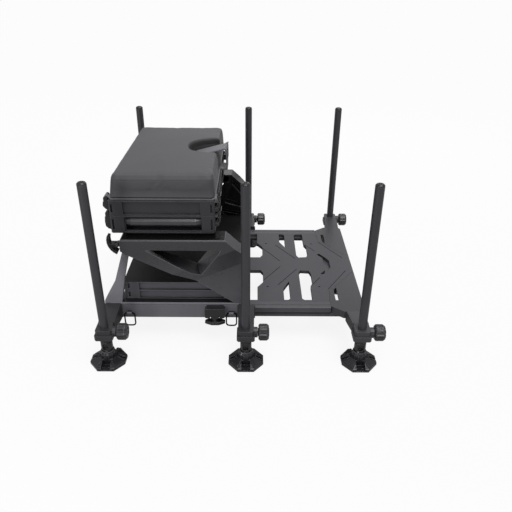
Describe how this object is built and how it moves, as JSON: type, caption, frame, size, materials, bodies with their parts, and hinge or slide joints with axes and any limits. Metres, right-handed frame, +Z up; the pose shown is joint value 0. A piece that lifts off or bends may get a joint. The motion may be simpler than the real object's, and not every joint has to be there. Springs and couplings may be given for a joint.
{
  "type": "fishing seat box",
  "caption": "Cushioned tackle box seat on a low frame with adjustable legs, mud feet, drawers, lift-up trays and a sliding slotted footplate.",
  "frame": {"origin": "middle of the bounding box, on the floor under the mud feet", "axes": "+Z up; +X is the way the angler faces, toward the footplate; +Y is the angler's left"},
  "size_m": [0.8608, 0.867, 0.5685],
  "materials": {
    "leg_tube": "satin powder coat",
    "frame_rail": "matt powder coat",
    "cast_frame": "satin powder coat over a casting",
    "bracket_plastic": "fine moulded grain",
    "case_plastic": "fine moulded grain",
    "deck_plastic": "fine moulded grain",
    "foot_plastic": "semi-gloss moulding",
    "black_plastic": "semi-gloss moulding",
    "ring_steel": "blackened wire",
    "seat_cover": "matt coated cover over foam"
  },
  "bodies": {
    "frame": {"side_rail_right": "frame_rail", "seat_bracket_right": "bracket_plastic", "side_rail_left": "frame_rail", "seat_bracket_left": "bracket_plastic", "cross_rails": "frame_rail", "runner_lock_blocks": "cast_frame", "rear_struts": "cast_frame", "drawer_case": "case_plastic", "deep_tray": "case_plastic", "deep_tray_fittings": "black_plastic", "base_leg_clamps": "cast_frame", "carry_handles": "black_plastic"},
    "footplate": {"footplate_deck": "deck_plastic", "footplate_edge_rails": "frame_rail", "footplate_subframe": "frame_rail", "footplate_leg_clamps": "cast_frame"},
    "leg_rear_right": {"leg_rear_right": "leg_tube", "leg_ends_rear_right": "black_plastic"},
    "mud_foot_rear_right": {"mud_foot_rear_right": "foot_plastic"},
    "clamp_knob_rear_right": {"clamp_knob_rear_right": "black_plastic"},
    "leg_rear_left": {"leg_rear_left": "leg_tube", "leg_ends_rear_left": "black_plastic"},
    "mud_foot_rear_left": {"mud_foot_rear_left": "foot_plastic"},
    "clamp_knob_rear_left": {"clamp_knob_rear_left": "black_plastic"},
    "leg_mid_right": {"leg_mid_right": "leg_tube", "leg_ends_mid_right": "black_plastic"},
    "mud_foot_mid_right": {"mud_foot_mid_right": "foot_plastic"},
    "clamp_knob_mid_right": {"clamp_knob_mid_right": "black_plastic"},
    "leg_mid_left": {"leg_mid_left": "leg_tube", "leg_ends_mid_left": "black_plastic"},
    "mud_foot_mid_left": {"mud_foot_mid_left": "foot_plastic"},
    "clamp_knob_mid_left": {"clamp_knob_mid_left": "black_plastic"},
    "leg_front_right": {"leg_front_right": "leg_tube", "leg_ends_front_right": "black_plastic"},
    "mud_foot_front_right": {"mud_foot_front_right": "foot_plastic"},
    "clamp_knob_front_right": {"clamp_knob_front_right": "black_plastic"},
    "leg_front_left": {"leg_front_left": "leg_tube", "leg_ends_front_left": "black_plastic"},
    "mud_foot_front_left": {"mud_foot_front_left": "foot_plastic"},
    "clamp_knob_front_left": {"clamp_knob_front_left": "black_plastic"},
    "runner_lock_knob_right": {"runner_lock_knob_right": "black_plastic"},
    "strap_ring_rear_right": {"strap_ring_rear_right": "ring_steel"},
    "strap_ring_mid_right": {"strap_ring_mid_right": "ring_steel"},
    "runner_lock_knob_left": {"runner_lock_knob_left": "black_plastic"},
    "strap_ring_rear_left": {"strap_ring_rear_left": "ring_steel"},
    "strap_ring_mid_left": {"strap_ring_mid_left": "ring_steel"},
    "shallow_tray": {"shallow_tray": "case_plastic", "shallow_tray_fittings": "black_plastic"},
    "lid": {"seat_lid": "case_plastic", "seat_cushion": "seat_cover"},
    "drawer_lower": {"drawer_lower": "case_plastic"},
    "drawer_upper": {"drawer_upper": "case_plastic"},
    "tray_catches": {"tray_catches": "black_plastic"},
    "lid_catches": {"lid_catches": "black_plastic"},
    "seat_latches": {"seat_latches": "black_plastic"}
  },
  "joints": [
    {"name": "footplate_slide", "type": "slide", "parent": "frame", "child": "footplate", "axis": [1, 0, 0], "range_m": [0, 0.12]},
    {"name": "leg_rear_right_slide", "type": "slide", "parent": "frame", "child": "leg_rear_right", "axis": [0, 0, -1], "range_m": [0, 0.42]},
    {"name": "mud_foot_rear_right_tilt", "type": "hinge", "parent": "leg_rear_right", "child": "mud_foot_rear_right", "pos_m": [-0.37895, -0.3845, 0.036], "axis": [0, 1, 0], "range_deg": [-14, 14]},
    {"name": "clamp_knob_rear_right_turn", "type": "hinge", "parent": "frame", "child": "clamp_knob_rear_right", "pos_m": [-0.37895, -0.3845, 0.109], "axis": [1, 0, 0], "continuous": true},
    {"name": "leg_rear_left_slide", "type": "slide", "parent": "frame", "child": "leg_rear_left", "axis": [0, 0, -1], "range_m": [0, 0.42]},
    {"name": "mud_foot_rear_left_tilt", "type": "hinge", "parent": "leg_rear_left", "child": "mud_foot_rear_left", "pos_m": [-0.37895, 0.3845, 0.036], "axis": [0, 1, 0], "range_deg": [-14, 14]},
    {"name": "clamp_knob_rear_left_turn", "type": "hinge", "parent": "frame", "child": "clamp_knob_rear_left", "pos_m": [-0.37895, 0.3845, 0.109], "axis": [1, 0, 0], "continuous": true},
    {"name": "leg_mid_right_slide", "type": "slide", "parent": "frame", "child": "leg_mid_right", "axis": [0, 0, -1], "range_m": [0, 0.42]},
    {"name": "mud_foot_mid_right_tilt", "type": "hinge", "parent": "leg_mid_right", "child": "mud_foot_mid_right", "pos_m": [0.02855, -0.3845, 0.036], "axis": [0, 1, 0], "range_deg": [-14, 14]},
    {"name": "clamp_knob_mid_right_turn", "type": "hinge", "parent": "frame", "child": "clamp_knob_mid_right", "pos_m": [0.02855, -0.3845, 0.109], "axis": [1, 0, 0], "continuous": true},
    {"name": "leg_mid_left_slide", "type": "slide", "parent": "frame", "child": "leg_mid_left", "axis": [0, 0, -1], "range_m": [0, 0.42]},
    {"name": "mud_foot_mid_left_tilt", "type": "hinge", "parent": "leg_mid_left", "child": "mud_foot_mid_left", "pos_m": [0.02855, 0.3845, 0.036], "axis": [0, 1, 0], "range_deg": [-14, 14]},
    {"name": "clamp_knob_mid_left_turn", "type": "hinge", "parent": "frame", "child": "clamp_knob_mid_left", "pos_m": [0.02855, 0.3845, 0.109], "axis": [1, 0, 0], "continuous": true},
    {"name": "leg_front_right_slide", "type": "slide", "parent": "footplate", "child": "leg_front_right", "axis": [0, 0, -1], "range_m": [0, 0.42]},
    {"name": "mud_foot_front_right_tilt", "type": "hinge", "parent": "leg_front_right", "child": "mud_foot_front_right", "pos_m": [0.36405, -0.3845, 0.036], "axis": [0, 1, 0], "range_deg": [-14, 14]},
    {"name": "clamp_knob_front_right_turn", "type": "hinge", "parent": "footplate", "child": "clamp_knob_front_right", "pos_m": [0.36405, -0.3845, 0.109], "axis": [1, 0, 0], "continuous": true},
    {"name": "leg_front_left_slide", "type": "slide", "parent": "footplate", "child": "leg_front_left", "axis": [0, 0, -1], "range_m": [0, 0.42]},
    {"name": "mud_foot_front_left_tilt", "type": "hinge", "parent": "leg_front_left", "child": "mud_foot_front_left", "pos_m": [0.36405, 0.3845, 0.036], "axis": [0, 1, 0], "range_deg": [-14, 14]},
    {"name": "clamp_knob_front_left_turn", "type": "hinge", "parent": "footplate", "child": "clamp_knob_front_left", "pos_m": [0.36405, 0.3845, 0.109], "axis": [1, 0, 0], "continuous": true},
    {"name": "runner_lock_knob_right_turn", "type": "hinge", "parent": "frame", "child": "runner_lock_knob_right", "pos_m": [-0.06795, -0.281, 0.065], "axis": [0, 0, 1], "continuous": true},
    {"name": "strap_ring_rear_right_swing", "type": "hinge", "parent": "frame", "child": "strap_ring_rear_right", "pos_m": [-0.33095, -0.276, 0.098], "axis": [-1, 0, 0], "range_deg": [0, 120]},
    {"name": "strap_ring_mid_right_swing", "type": "hinge", "parent": "frame", "child": "strap_ring_mid_right", "pos_m": [-0.01765, -0.276, 0.098], "axis": [-1, 0, 0], "range_deg": [0, 120]},
    {"name": "runner_lock_knob_left_turn", "type": "hinge", "parent": "frame", "child": "runner_lock_knob_left", "pos_m": [-0.06795, 0.281, 0.065], "axis": [0, 0, 1], "continuous": true},
    {"name": "strap_ring_rear_left_swing", "type": "hinge", "parent": "frame", "child": "strap_ring_rear_left", "pos_m": [-0.33095, 0.276, 0.098], "axis": [1, 0, 0], "range_deg": [0, 120]},
    {"name": "strap_ring_mid_left_swing", "type": "hinge", "parent": "frame", "child": "strap_ring_mid_left", "pos_m": [-0.01765, 0.276, 0.098], "axis": [1, 0, 0], "range_deg": [0, 120]},
    {"name": "shallow_tray_lift", "type": "hinge", "parent": "frame", "child": "shallow_tray", "pos_m": [-0.36495, 0, 0.4219], "axis": [0, -1, 0], "range_deg": [0, 92]},
    {"name": "lid_lift", "type": "hinge", "parent": "shallow_tray", "child": "lid", "pos_m": [-0.36495, 0, 0.4675], "axis": [0, -1, 0], "range_deg": [0, 95]},
    {"name": "drawer_lower_slide", "type": "slide", "parent": "frame", "child": "drawer_lower", "axis": [1, 0, 0], "range_m": [0, 0.26]},
    {"name": "drawer_upper_slide", "type": "slide", "parent": "frame", "child": "drawer_upper", "axis": [1, 0, 0], "range_m": [0, 0.26]},
    {"name": "tray_catches_swing", "type": "hinge", "parent": "frame", "child": "tray_catches", "pos_m": [-0.05395, 0, 0.3904], "axis": [0, 1, 0], "range_deg": [0, 100]},
    {"name": "lid_catches_swing", "type": "hinge", "parent": "shallow_tray", "child": "lid_catches", "pos_m": [-0.05395, 0, 0.436], "axis": [0, 1, 0], "range_deg": [0, 55]},
    {"name": "seat_latches_swing", "type": "hinge", "parent": "frame", "child": "seat_latches", "pos_m": [-0.33795, 0, 0.34], "axis": [0, -1, 0], "range_deg": [0, 20]}
  ]
}
